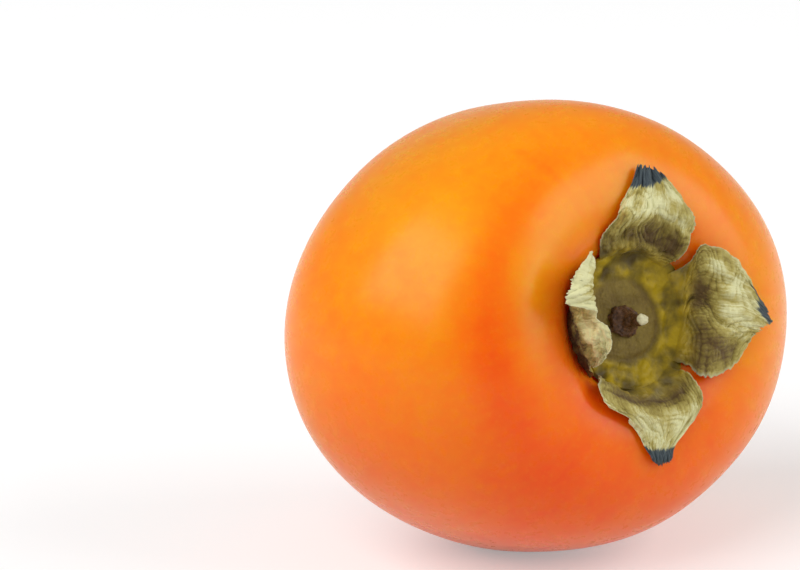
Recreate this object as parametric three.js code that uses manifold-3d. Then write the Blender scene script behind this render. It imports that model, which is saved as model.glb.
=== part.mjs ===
/**
 * A ripe persimmon, picked with its dried calyx and a stub of stem.
 *
 * Everything is modelled in the fruit's own frame first: z runs along the fruit's axis out of the
 * calyx, y is up the fruit and x is to the right as one faces the calyx. The whole fruit is then
 * laid on its side, as it rests, so that the exported group stands on z = 0 with the calyx facing -y.
 * Lengths are in millimetres and angles in degrees.
 */
import * as THREE from "three";
import { mergeVertices } from "three/addons/utils/BufferGeometryUtils.js";
import Module from "manifold-3d";

// ---- how the fruit lies ----
const TILT = 16;            // the calyx looks this far above the level
const FLAT_DEPTH = 0.8;     // how much the flattened spot takes off the round side

// ---- the flesh: a rounded, slightly four-sided fruit ----
const HALF_WIDTH = 40;          // mean radius across the axis
const CALYX_REACH = 33.7;       // centre to the calyx shoulder, along the axis
const BLOSSOM_REACH = 34.2;     // centre to the blossom end, along the axis
const CALYX_SQUARENESS = 2.81;  // superellipse exponent of the broad calyx end
const BLOSSOM_SQUARENESS = 1.79;
const TAPER = 0.022;            // the calyx half is this much wider at 40 mm from the middle
const OVAL = 0.081;             // wider across x than up y
const OVAL_TURN = -2.6;
const FOUR_SIDED = 0.015;
const FOUR_SIDED_TURN = -1.9;
const CALYX_BOWL = { depth: 5, width: 19 };     // the wide, shallow part of the calyx hollow
const CALYX_PIT = { depth: 6.6, width: 12.3 };  // the steep part under the calyx
const BLOSSOM_HOLLOW = { depth: 1.6, width: 7 };
const FRUIT_RINGS = 44;
const FRUIT_SEGMENTS = 64;

// ---- the calyx ----
const STEM_BASE = 25.7;      // height of the calyx's middle above the fruit's centre
const GAP = 0.4;             // free space between neighbouring pieces
const DISC_RADIUS = 9.9;
const DISC_RIM = 0.8;        // thickness of the disc at its edge
const DISC_SEGMENTS = 56;
const SCAR_RADIUS = 6.8;     // the shallow ring round the stem scar
const SEPAL_THICKNESS = 0.8;
const SEPAL_STEPS = 22;      // along a sepal
const SEPAL_SPANS = 18;      // across a sepal

// ---- small dried pieces ----
const STEM = { height: 4.9, foot: 2.7, neck: 1.3, end: 1, lean: 0.6, segments: 20 };
const BLOSSOM_TIP = { height: 1.3, radius: 1.3, segments: 16 };

/**
 * Each sepal is a smooth sheet through a net of points [x, y, height above the stem's base].
 * A row runs across the sepal, from its left edge to its right edge as seen from the middle of the
 * calyx; the first row joins the disc's rim and the last one is the tip.
 */
const SEPALS = {
  sepal_upper: {
    colour: "#b4ae74",
    rows: [
      [[-3.3, 10.9, 1.3], [-0.6, 11.3, 1.3], [2.2, 11.1, 1.3], [4.8, 10.3, 1.3], [7.1, 8.8, 1.3],
        [8.9, 7.0, 1.3]],
      [[-4.5, 12.8, 3.6], [-1.0, 12.6, 3.2], [2.6, 12.3, 3.2], [6.0, 10.8, 2.4], [8.5, 9.0, 2.5],
        [10.1, 7.7, 3.2]],
      [[-4.1, 15.2, 5.0], [-1.3, 14.7, 5.2], [1.7, 14.5, 5.8], [5.8, 12.7, 3.9], [9.2, 10.6, 4.4],
        [11.3, 9.2, 5.3]],
      [[-1.5, 17.3, 5.4], [0.0, 16.8, 6.8], [2.4, 16.2, 7.5], [6.3, 15.3, 6.2], [9.6, 13.4, 6.2],
        [12.2, 11.4, 6.2]],
      [[-0.7, 19.0, 5.6], [1.2, 18.7, 6.8], [3.4, 18.3, 7.5], [6.3, 17.5, 7.5], [9.9, 15.9, 7.0],
        [13.5, 13.7, 6.0]],
      [[1.5, 21.0, 5.5], [3.4, 20.8, 5.9], [5.3, 20.5, 6.2], [7.7, 19.8, 6.1], [10.0, 18.6, 5.8],
        [12.6, 16.8, 5.5]],
      [[5.0, 24.7, 4.6], [5.7, 24.5, 4.7], [6.6, 24.1, 4.8], [7.3, 23.7, 4.8], [8.2, 23.0, 4.9],
        [8.7, 22.3, 5.0]],
    ],
  },
  sepal_right: {
    colour: "#a49a5c",
    rows: [
      [[9.6, 6.0, 1.3], [11.0, 2.7, 1.3], [11.3, -1.4, 1.3], [10.7, -3.9, 1.3], [9.5, -6.2, 1.3],
        [7.9, -8.2, 1.3]],
      [[12.1, 7.3, 4.6], [12.6, 5.6, 4.0], [12.3, 2.0, 2.6], [12.1, -0.9, 2.4], [11.0, -5.0, 3.2],
        [9.0, -9.2, 3.2]],
      [[13.8, 9.6, 5.4], [13.6, 6.6, 6.2], [13.8, 1.9, 4.2], [13.5, -1.0, 4.0], [12.0, -5.2, 5.6],
        [10.0, -11.3, 4.9]],
      [[16.3, 9.4, 5.6], [15.5, 5.7, 7.3], [15.4, 0.9, 5.0], [15.2, -2.1, 5.0], [13.9, -5.6, 6.8],
        [12.1, -11.9, 5.5]],
      [[19.2, 7.5, 5.7], [18.4, 4.2, 7.2], [17.4, 0.3, 6.9], [16.3, -3.2, 7.0], [17.5, -6.0, 5.9],
        [15.9, -11.1, 5.7]],
      [[21.7, 5.1, 5.7], [21.4, 2.2, 6.3], [20.5, -0.8, 6.9], [19.6, -3.9, 6.9], [20.2, -5.8, 5.8],
        [19.4, -8.3, 5.7]],
      [[23.7, -1.4, 5.6], [24.8, -2.7, 5.3], [26.1, -5.1, 5.5], [24.9, -5.7, 5.3], [22.8, -6.2, 5.5],
        [21.6, -6.3, 5.7]],
    ],
  },
  sepal_lower: {
    colour: "#aaa064",
    rows: [
      [[7.1, -8.8, 1.3], [3.9, -10.7, 1.3], [0.0, -11.3, 1.3], [-4.1, -10.6, 1.3], [-7.4, -8.6, 1.3]],
      [[8.2, -10.1, 3.8], [5.9, -11.8, 3.3], [0.9, -12.7, 2.8], [-4.8, -10.6, 3.2], [-9.7, -7.2, 4.0]],
      [[8.8, -11.7, 5.0], [6.3, -13.5, 4.7], [1.3, -14.0, 4.0], [-5.5, -12.2, 5.0], [-11.1, -8.6, 5.2]],
      [[9.2, -13.8, 5.4], [6.5, -15.4, 5.3], [0.6, -15.5, 5.6], [-5.5, -13.8, 6.2],
        [-10.7, -11.0, 5.8]],
      [[8.6, -16.1, 5.6], [5.6, -17.0, 5.5], [0.7, -16.7, 5.9], [-4.2, -15.2, 6.0], [-8.9, -13.5, 5.6]],
      [[5.4, -18.7, 5.5], [3.4, -18.9, 5.5], [0.4, -18.4, 5.5], [-2.6, -17.6, 5.4], [-5.4, -16.4, 5.4]],
      [[2.4, -20.6, 5.5], [1.0, -20.8, 5.5], [-0.8, -20.4, 5.5], [-2.6, -20.1, 5.5],
        [-4.1, -19.3, 5.5]],
      [[1.1, -23.1, 5.2], [0.3, -23.5, 5.1], [-1.0, -23.8, 5.0], [-2.0, -23.2, 5.2],
        [-2.7, -22.3, 5.3]],
    ],
  },
  sepal_left: {
    colour: "#c1b784",
    rows: [
      [[-8.2, -7.2, 1.3], [-9.8, -4.4, 1.3], [-10.8, -0.4, 1.3], [-10.4, 3.8, 1.3], [-8.8, 7.1, 1.3],
        [-6.0, 9.6, 1.3]],
      [[-9.3, -5.8, 2.4], [-10.7, -2.8, 2.8], [-11.8, 0.8, 3.1], [-11.8, 4.8, 3.4], [-10.4, 7.8, 3.4],
        [-7.2, 10.7, 3.0]],
      [[-9.6, -5.8, 3.6], [-11.4, -2.7, 4.8], [-12.6, 1.1, 5.3], [-12.8, 5.0, 5.6], [-11.6, 8.0, 5.6],
        [-8.3, 10.9, 5.0]],
      [[-9.7, -5.6, 4.7], [-11.4, -2.8, 6.8], [-12.6, 1.0, 7.6], [-13.6, 5.0, 8.2], [-12.7, 8.1, 8.2],
        [-9.3, 11.2, 7.2]],
      [[-9.9, -5.3, 5.5], [-10.9, -2.7, 8.6], [-12.3, 1.0, 10.4], [-13.6, 4.9, 11.4],
        [-13.2, 8.0, 11.4], [-10.9, 12.0, 10.0]],
      [[-10.0, -4.9, 6.2], [-10.4, -3.4, 9.6], [-11.7, 1.0, 11.6], [-18.0, 5.4, 10.2],
        [-16.5, 9.6, 10.6], [-11.1, 13.5, 10.4]],
    ],
  },
};

const radians = THREE.MathUtils.degToRad;

/** A dull organic material: colour and roughness, no metal. */
function dry(colour, roughness) {
  return new THREE.MeshStandardMaterial({ color: colour, roughness, metalness: 0 });
}

/** A smooth step from 0 to 1. */
function ease(t) {
  return t * t * (3 - 2 * t);
}

/**
 * The flesh's surface at `polar` (0 at the calyx, pi at the blossom end) and `turn` round the axis.
 * A superellipse whose reach and squareness change from one end to the other, oval and faintly
 * four-sided across, with a hollow at each end.
 */
function fleshPoint(polar, turn) {
  const toBlossom = ease((1 - Math.cos(polar)) / 2);
  const reach = THREE.MathUtils.lerp(CALYX_REACH, BLOSSOM_REACH, toBlossom);
  const power = THREE.MathUtils.lerp(CALYX_SQUARENESS, BLOSSOM_SQUARENESS, toBlossom);
  const across = Math.abs(Math.sin(polar)) / HALF_WIDTH;
  const along = Math.abs(Math.cos(polar)) / reach;
  const size = (across ** power + along ** power) ** (-1 / power);
  let z = size * Math.cos(polar);
  const oval = OVAL * Math.cos(2 * (turn - radians(OVAL_TURN)));
  const sides = FOUR_SIDED * Math.cos(4 * (turn - radians(FOUR_SIDED_TURN)));
  const swell = (1 + (TAPER * z) / HALF_WIDTH) * (1 + (oval + sides) * Math.sin(polar) ** 2);
  const radius = size * Math.sin(polar) * swell;
  if (z > 0) {
    z -= CALYX_BOWL.depth * Math.exp(-((radius / CALYX_BOWL.width) ** 3));
    z -= CALYX_PIT.depth * Math.exp(-((radius / CALYX_PIT.width) ** 5));
  } else {
    z += BLOSSOM_HOLLOW.depth * Math.exp(-((radius / BLOSSOM_HOLLOW.width) ** 2));
  }
  return new THREE.Vector3(radius * Math.cos(turn), radius * Math.sin(turn), z);
}

/** Height of the flesh in the calyx hollow, `radius` from the axis, found by halving the polar angle. */
function hollowFloor(radius) {
  let low = 0;
  let high = Math.PI / 3;
  for (let step = 0; step < 40; step += 1) {
    const middle = (low + high) / 2;
    const point = fleshPoint(middle, Math.PI / 4);
    if (Math.hypot(point.x, point.y) < radius) {
      low = middle;
    } else {
      high = middle;
    }
  }
  return fleshPoint(low, Math.PI / 4).z;
}

/** A closed BufferGeometry from a list of points and a list of triangles. */
function closedGeometry(points, triangles) {
  const geometry = new THREE.BufferGeometry();
  const values = points.flatMap((point) => [point.x, point.y, point.z]);
  geometry.setAttribute("position", new THREE.Float32BufferAttribute(values, 3));
  geometry.setIndex(triangles.flat());
  geometry.computeVertexNormals();
  return geometry;
}

/** The closed skin of the flesh: a point at each pole and rings of points between them. */
function fleshGeometry() {
  const points = [fleshPoint(0, 0)];
  for (let ring = 1; ring < FRUIT_RINGS; ring += 1) {
    for (let segment = 0; segment < FRUIT_SEGMENTS; segment += 1) {
      const polar = (Math.PI * ring) / FRUIT_RINGS;
      points.push(fleshPoint(polar, (2 * Math.PI * segment) / FRUIT_SEGMENTS));
    }
  }
  points.push(fleshPoint(Math.PI, 0));
  const last = points.length - 1;
  const at = (ring, segment) => 1 + (ring - 1) * FRUIT_SEGMENTS + (segment % FRUIT_SEGMENTS);
  const triangles = [];
  for (let segment = 0; segment < FRUIT_SEGMENTS; segment += 1) {
    triangles.push([0, at(1, segment), at(1, segment + 1)]);
    triangles.push([last, at(FRUIT_RINGS - 1, segment + 1), at(FRUIT_RINGS - 1, segment)]);
    for (let ring = 1; ring < FRUIT_RINGS - 1; ring += 1) {
      triangles.push([at(ring, segment), at(ring + 1, segment), at(ring + 1, segment + 1)]);
      triangles.push([at(ring, segment), at(ring + 1, segment + 1), at(ring, segment + 1)]);
    }
  }
  return closedGeometry(points, triangles);
}

/** A manifold solid from a closed geometry. */
function toSolid(wasm, geometry) {
  const bare = geometry.clone();
  bare.deleteAttribute("normal");
  bare.deleteAttribute("uv");
  const merged = mergeVertices(bare, 1e-5);
  return new wasm.Manifold(new wasm.Mesh({
    numProp: 3,
    vertProperties: new Float32Array(merged.attributes.position.array),
    triVerts: new Uint32Array(merged.index.array),
  }));
}

/** A geometry from a manifold solid. */
function toGeometry(solid) {
  const mesh = solid.getMesh();
  const geometry = new THREE.BufferGeometry();
  geometry.setAttribute("position", new THREE.BufferAttribute(mesh.vertProperties, 3));
  geometry.setIndex(new THREE.BufferAttribute(mesh.triVerts, 1));
  geometry.computeVertexNormals();
  return geometry;
}

/** The turn that lays the fruit on its side, calyx towards -y and TILT above the level. */
const LYING = new THREE.Quaternion().setFromAxisAngle(new THREE.Vector3(1, 0, 0), radians(90 - TILT));

/** The lowest point of the lying flesh, in the lying frame before it is moved to the origin. */
function lowestPoint() {
  const steps = 720;
  let lowest = new THREE.Vector3(0, 0, Infinity);
  for (let i = steps / 4; i < (3 * steps) / 4; i += 1) {
    for (let j = steps / 2; j < steps; j += 1) {
      const point = fleshPoint((Math.PI * i) / steps, (2 * Math.PI * j) / steps).applyQuaternion(LYING);
      if (point.z < lowest.z) {
        lowest = point;
      }
    }
  }
  return lowest;
}

/** The flesh with its flattened resting spot: everything below the flat is cut away. */
function restingFlesh(wasm, lowest) {
  const slab = new THREE.BoxGeometry(4 * HALF_WIDTH, 4 * HALF_WIDTH, 2 * HALF_WIDTH);
  slab.translate(lowest.x, lowest.y, lowest.z + FLAT_DEPTH - HALF_WIDTH);
  slab.applyQuaternion(LYING.clone().invert());
  const cut = toSolid(wasm, fleshGeometry()).subtract(toSolid(wasm, slab));
  return toGeometry(cut);
}

/**
 * The fused middle of the calyx: a level scar with a ring-shaped groove round the stem, then a
 * waxy zone that rises in soft waves to the rim. Its underside follows the hollow of the flesh.
 */
function discGeometry() {
  const rimTop = 0.9;
  const top = [[0, 0], [3.5, 0], [5.4, 0.15], [SCAR_RADIUS - 0.6, 0], [SCAR_RADIUS, -0.4],
    [SCAR_RADIUS + 0.6, 0.1], [8.6, 0.6], [DISC_RADIUS, rimTop]];
  const under = [DISC_RADIUS - 0.2, 8.2, 6.2, 4.2, 2, 0].map((radius) => {
    const floor = hollowFloor(radius) + GAP - STEM_BASE;
    return [radius, Math.min(floor, rimTop - DISC_RIM)];
  });
  const profile = [...under.reverse(), ...top.reverse()];
  const outline = profile.map(([radius, height]) => new THREE.Vector2(radius, height));
  const geometry = new THREE.LatheGeometry(outline, DISC_SEGMENTS);
  geometry.rotateX(Math.PI / 2);
  geometry.translate(0, 0, STEM_BASE);
  return geometry;
}

/** Catmull-Rom weights of the four points round a place `t` between the middle two. */
function catmullRom(t) {
  return [
    (-t + 2 * t ** 2 - t ** 3) / 2,
    (2 - 5 * t ** 2 + 3 * t ** 3) / 2,
    (t + 4 * t ** 2 - 3 * t ** 3) / 2,
    (-(t ** 2) + t ** 3) / 2,
  ];
}

/** A smooth curve's point: `place` from 0 to 1 through `points`, straight on past both ends. */
function alongPoints(points, place) {
  const last = points.length - 1;
  const scaled = place * last;
  const start = Math.min(Math.floor(scaled), last - 1);
  const weights = catmullRom(scaled - start);
  const sum = new THREE.Vector3();
  weights.forEach((weight, index) => {
    const wanted = start + index - 1;
    if (wanted < 0) {
      sum.addScaledVector(points[0], 2 * weight).addScaledVector(points[1], -weight);
    } else if (wanted > last) {
      sum.addScaledVector(points[last], 2 * weight).addScaledVector(points[last - 1], -weight);
    } else {
      sum.addScaledVector(points[wanted], weight);
    }
  });
  return sum;
}

/** The middle sheet of a sepal as rows of points, and the direction that each point faces. */
function sepalSheet(rows) {
  const net = rows.map((row) => row.map(([x, y, z]) => new THREE.Vector3(x, y, z + STEM_BASE)));
  const sheet = [];
  for (let i = 0; i <= SEPAL_STEPS; i += 1) {
    const line = [];
    for (let j = 0; j <= SEPAL_SPANS; j += 1) {
      const cross = net.map((row) => alongPoints(row, j / SEPAL_SPANS));
      line.push(alongPoints(cross, i / SEPAL_STEPS));
    }
    sheet.push(line);
  }
  const facing = sheet.map((line, i) => line.map((_, j) => {
    const forward = sheet[Math.min(i + 1, SEPAL_STEPS)][j].clone().sub(sheet[Math.max(i - 1, 0)][j]);
    const sideways = line[Math.min(j + 1, SEPAL_SPANS)].clone().sub(line[Math.max(j - 1, 0)]);
    return sideways.cross(forward).normalize();
  }));
  return { sheet, facing };
}

/** A sepal: its sheet thickened to both sides and closed round the edge. */
function sepalGeometry(rows) {
  const { sheet, facing } = sepalSheet(rows);
  const columns = SEPAL_SPANS + 1;
  const count = (SEPAL_STEPS + 1) * columns;
  const half = SEPAL_THICKNESS / 2;
  const offset = (side) => sheet.flatMap((line, i) => line.map((point, j) => (
    point.clone().addScaledVector(facing[i][j], side * half))));
  const points = [...offset(1), ...offset(-1)];
  const at = (i, j) => i * columns + j;
  const triangles = [];
  for (let i = 0; i < SEPAL_STEPS; i += 1) {
    for (let j = 0; j < SEPAL_SPANS; j += 1) {
      const [a, b, c, d] = [at(i, j), at(i, j + 1), at(i + 1, j + 1), at(i + 1, j)];
      triangles.push([a, b, c], [a, c, d]);
      triangles.push([a + count, c + count, b + count], [a + count, d + count, c + count]);
    }
  }
  for (const [p, q] of edgeLoop(at)) {
    triangles.push([p, p + count, q + count], [p, q + count, q]);
  }
  return closedGeometry(points, triangles);
}

/** The pairs of neighbouring points round a sheet's edge, in the order its upper side is wound. */
function edgeLoop(at) {
  const loop = [];
  for (let j = 0; j < SEPAL_SPANS; j += 1) {
    loop.push(at(0, j));
  }
  for (let i = 0; i < SEPAL_STEPS; i += 1) {
    loop.push(at(i, SEPAL_SPANS));
  }
  for (let j = SEPAL_SPANS; j > 0; j -= 1) {
    loop.push(at(SEPAL_STEPS, j));
  }
  for (let i = SEPAL_STEPS; i > 0; i -= 1) {
    loop.push(at(i, 0));
  }
  return loop.map((point, index) => [point, loop[(index + 1) % loop.length]]);
}

/** The stem's stub: a flared foot that narrows to a short, cut-off stick leaning to one side. */
function stemGeometry() {
  const outline = [
    [0, 0], [STEM.foot, 0], [STEM.foot * 0.92, 0.7], [STEM.foot * 0.68, 1.35], [STEM.neck, 2.1],
    [STEM.end, 3.4], [STEM.end, STEM.height - 0.2], [STEM.end * 0.8, STEM.height], [0, STEM.height],
  ].map(([radius, height]) => new THREE.Vector2(radius, height));
  const geometry = new THREE.LatheGeometry(outline, STEM.segments);
  geometry.rotateX(Math.PI / 2);
  const lean = STEM.lean / STEM.height ** 2;
  const position = geometry.attributes.position;
  for (let index = 0; index < position.count; index += 1) {
    position.setX(index, position.getX(index) + lean * position.getZ(index) ** 2);
  }
  geometry.translate(0, 0, STEM_BASE + 0.15 + GAP);
  return geometry;
}

/** The dried tip of the style, a small blunt point in the blossom hollow. */
function blossomTipGeometry() {
  const outline = [[0, 0], [0.45, 0.1], [0.8, 0.5], [BLOSSOM_TIP.radius, BLOSSOM_TIP.height],
    [0, BLOSSOM_TIP.height]].map(([radius, height]) => new THREE.Vector2(radius, height));
  const geometry = new THREE.LatheGeometry(outline, BLOSSOM_TIP.segments);
  geometry.rotateX(Math.PI / 2);
  geometry.translate(0, 0, fleshPoint(Math.PI, 0).z - GAP - BLOSSOM_TIP.height);
  return geometry;
}

/** A mesh with its node's name. */
function named(name, geometry, material) {
  const mesh = new THREE.Mesh(geometry, material);
  mesh.name = name;
  return mesh;
}

const wasm = await Module();
wasm.setup();

const lowest = lowestPoint();
const persimmon = new THREE.Group();
persimmon.quaternion.copy(LYING);
persimmon.position.set(-lowest.x, -lowest.y, -(lowest.z + FLAT_DEPTH));
persimmon.add(named("fruit", restingFlesh(wasm, lowest), dry("#f07818", 0.38)));
persimmon.add(named("calyx_disc", discGeometry(), dry("#84703a", 0.6)));
for (const [name, sepal] of Object.entries(SEPALS)) {
  persimmon.add(named(name, sepalGeometry(sepal.rows), dry(sepal.colour, 0.8)));
}
persimmon.add(named("stem_stub", stemGeometry(), dry("#4a2a12", 0.75)));
persimmon.add(named("blossom_tip", blossomTipGeometry(), dry("#3a2414", 0.8)));

export default persimmon;
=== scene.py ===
"""A ripe persimmon lying on its side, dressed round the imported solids.

Shapes are worked out in the fruit's own frame, in millimetres: z runs along the fruit's axis out of
the calyx, y is up the fruit and x is to the right as one faces the calyx. One turn lays them on
their side in the shared frame, in metres.
"""
import logging
import math
from dataclasses import dataclass, field
from enum import Enum
from typing import Optional, Union

import bpy
import numpy as np
from mathutils import Matrix, Vector


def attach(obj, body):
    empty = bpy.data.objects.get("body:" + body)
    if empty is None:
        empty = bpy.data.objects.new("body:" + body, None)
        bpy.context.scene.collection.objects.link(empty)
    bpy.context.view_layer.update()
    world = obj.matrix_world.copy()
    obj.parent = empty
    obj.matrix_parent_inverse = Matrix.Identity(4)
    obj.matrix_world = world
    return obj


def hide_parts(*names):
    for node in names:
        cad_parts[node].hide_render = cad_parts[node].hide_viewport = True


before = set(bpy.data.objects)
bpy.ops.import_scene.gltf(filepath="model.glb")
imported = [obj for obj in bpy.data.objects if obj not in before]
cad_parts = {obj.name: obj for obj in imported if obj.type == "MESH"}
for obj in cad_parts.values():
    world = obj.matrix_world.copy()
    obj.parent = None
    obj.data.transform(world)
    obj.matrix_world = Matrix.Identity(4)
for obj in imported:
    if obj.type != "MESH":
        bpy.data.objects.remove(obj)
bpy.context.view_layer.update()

MM = 0.001
Array = np.ndarray
Point = tuple[float, float, float]
logger = logging.getLogger("persimmon")


# ---------------------------------------------------------------- shape helpers

def ease(t: Array) -> Array:
    """A smooth step from 0 to 1, held level outside that range."""
    t = np.clip(t, 0, 1)
    return t * t * (3 - 2 * t)


def hump(distance: Array, width: float) -> Array:
    """A soft hump: 1 at distance 0, fading over width."""
    return np.exp(-(distance / width) ** 2)


def waves(places: Array, length: float, seed: int, count: int = 28) -> Array:
    """Smooth random relief: the mean of plane waves with random directions, lengths and phases.

    Args:
        places: points, with their coordinates along the last axis.
        length: the middle wavelength, in the unit of the points.
        seed: which relief it is.
        count: how many waves are summed.

    Returns:
        One height for each point, mostly between -1 and 1.
    """
    rng = np.random.default_rng(seed)
    aims = rng.normal(size=(count, places.shape[-1]))
    aims /= np.linalg.norm(aims, axis=1, keepdims=True)
    aims *= (2 * math.pi / (length * rng.uniform(0.7, 1.5, count)))[:, None]
    phases = rng.uniform(0, 2 * math.pi, count)
    total = np.zeros(places.shape[:-1])
    for aim, phase in zip(aims, phases):
        total += np.cos(places @ aim + phase)
    return total / math.sqrt(count)


def full_turn(count: int) -> Array:
    """This many angles, spread evenly over a full turn, as one row."""
    return np.linspace(0, 2 * math.pi, count, endpoint=False)[None, :]


def round_axis(radius: Array, turn: Array, height: Array) -> Array:
    """Points at a radius r, an angle a and a height h about the z axis: (r cos a, r sin a, h)."""
    return np.stack(np.broadcast_arrays(radius * np.cos(turn), radius * np.sin(turn), height), -1)


def grid_quads(rows: int, columns: int, closed: bool = False, first: int = 0) -> Array:
    """The faces of a grid of points, wound so that a row's direction crossed with a column's faces out.

    Args:
        rows: points from the first row to the last.
        columns: points in a row.
        closed: whether each row's last point joins its first.
        first: the index of the grid's first point.

    Returns:
        One row of four point indices for each face.
    """
    row, column = np.meshgrid(np.arange(rows - 1), np.arange(columns if closed else columns - 1),
                              indexing="ij")
    after = (column + 1) % columns
    corners = [row * columns + column, row * columns + after,
               (row + 1) * columns + after, (row + 1) * columns + column]
    return np.stack(corners, -1).reshape(-1, 4) + first


def facing(points: Array, closed: bool = False) -> Array:
    """The way a grid of points faces: its step to the next column crossed with its step to the next row.

    Args:
        points: the grid, as (row, column, xyz).
        closed: whether each row's last point joins its first.

    Returns:
        A vector of length 1 for each point.
    """
    if closed:
        along_row = np.roll(points, -1, axis=1) - np.roll(points, 1, axis=1)
    else:
        along_row = np.gradient(points, axis=1)
    normal = np.cross(along_row, np.gradient(points, axis=0))
    return normal / (np.linalg.norm(normal, axis=-1, keepdims=True) + 1e-12)


def make_piece(name: str, points: Array, faces: list[Array], marks: Optional[dict[str, Array]] = None,
               spread: Optional[Array] = None) -> bpy.types.Object:
    """Puts worked-out points and faces into a smooth-shaded object at the origin.

    Args:
        name: the piece's name.
        points: its points in the shared frame, in metres.
        faces: arrays of point indices, one row for each face.
        marks: float attributes, one number for each point.
        spread: two map coordinates for each point, for the piece's own UV map.

    Returns:
        The new object.
    """
    mesh = bpy.data.meshes.new(name)
    mesh.from_pydata(points.reshape(-1, 3), [], [face for part in faces for face in part.tolist()])
    mesh.validate()
    mesh.polygons.foreach_set("use_smooth", np.ones(len(mesh.polygons), bool))
    for mark, values in (marks or {}).items():
        layer = mesh.attributes.new(mark, "FLOAT", "POINT")
        layer.data.foreach_set("value", values.astype(np.float32).ravel())
    if spread is not None:
        corners = np.empty(len(mesh.loops), np.int32)
        mesh.loops.foreach_get("vertex_index", corners)
        layer = mesh.uv_layers.new(name="spread")
        layer.data.foreach_set("uv", spread.reshape(-1, 2)[corners].astype(np.float32).ravel())
    mesh.update()
    piece = bpy.data.objects.new(name, mesh)
    bpy.context.scene.collection.objects.link(piece)
    return piece


def closed_lathe(name: str, rings: Array, marks: Optional[dict[str, Array]] = None) -> bpy.types.Object:
    """A solid from rings of points, each end closed by a fan to the ring's middle.

    Args:
        name: the piece's name.
        rings: points as (ring, place round it, xyz), from the far end towards the viewer.
        marks: float attributes, one number for each ring's point.

    Returns:
        The new object.
    """
    count, around = rings.shape[:2]
    ends = np.stack([rings[0].mean(0), rings[-1].mean(0)])
    place = np.arange(around)
    after = np.roll(place, -1)
    last = (count - 1) * around
    start_fan = np.stack([np.full(around, count * around), after, place], -1)
    end_fan = np.stack([np.full(around, count * around + 1), last + place, last + after], -1)
    points = np.concatenate([rings.reshape(-1, 3), ends])
    padded = {mark: np.concatenate([values.ravel(), [values[0].mean(), values[-1].mean()]])
              for mark, values in (marks or {}).items()}
    return make_piece(name, points, [grid_quads(count, around, True), start_fan, end_fan], padded)


# ---------------------------------------------------------------- material helpers

Value = Union[float, tuple, bpy.types.NodeSocket]
Inputs = dict[Union[str, int], Value]


def linear(code: str) -> tuple[float, float, float, float]:
    """Turns an sRGB hex colour into the linear colour that a shader takes."""
    parts = [int(code[i:i + 2], 16) / 255 for i in (1, 3, 5)]
    return (*[p / 12.92 if p <= 0.04045 else ((p + 0.055) / 1.055) ** 2.4 for p in parts], 1.0)


def add(material: Union[bpy.types.Material, bpy.types.World], kind: str,
        inputs: Optional[Inputs] = None, **settings: object) -> bpy.types.Node:
    """Adds one shader node.

    Args:
        material: the material or world whose node tree gets it.
        kind: the node's type, without its ShaderNode prefix.
        inputs: for each input, by name or number, a value or the socket that feeds it.
        settings: the node's own settings; ramp is a list of (place, hex colour) for a colour ramp.

    Returns:
        The new node.
    """
    tree = material.node_tree
    new = tree.nodes.new("ShaderNode" + kind)
    for name, value in settings.items():
        if name == "ramp":
            stops = new.color_ramp.elements
            while len(stops) < len(value):
                stops.new(1.0)
            for stop, (place, colour) in zip(stops, value):
                stop.position = place
                stop.color = linear(colour)
        else:
            setattr(new, name, value)
    for name, value in (inputs or {}).items():
        if isinstance(value, bpy.types.NodeSocket):
            tree.links.new(value, new.inputs[name])
        else:
            new.inputs[name].default_value = value
    return new


def blank(name: str) -> bpy.types.Material:
    """Makes an empty node material.

    Args:
        name: the real finish that it stands for.

    Returns:
        The material, without any node.
    """
    material = bpy.data.materials.new(name)
    material.use_nodes = True
    material.node_tree.nodes.clear()
    return material


def per_mm(size: float) -> float:
    """The noise scale, in turns per metre, of a pattern whose features are this many millimetres."""
    return 1 / (size * MM)


def swing(noise: bpy.types.NodeSocket, reach: float) -> Inputs:
    """A Map Range node's inputs that spread a noise, mostly 0.3 to 0.7, from -reach to reach."""
    return {"Value": noise, "From Min": 0.3, "From Max": 0.7, "To Min": -reach, "To Max": reach}


# ---------------------------------------------------------------- finishes

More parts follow.
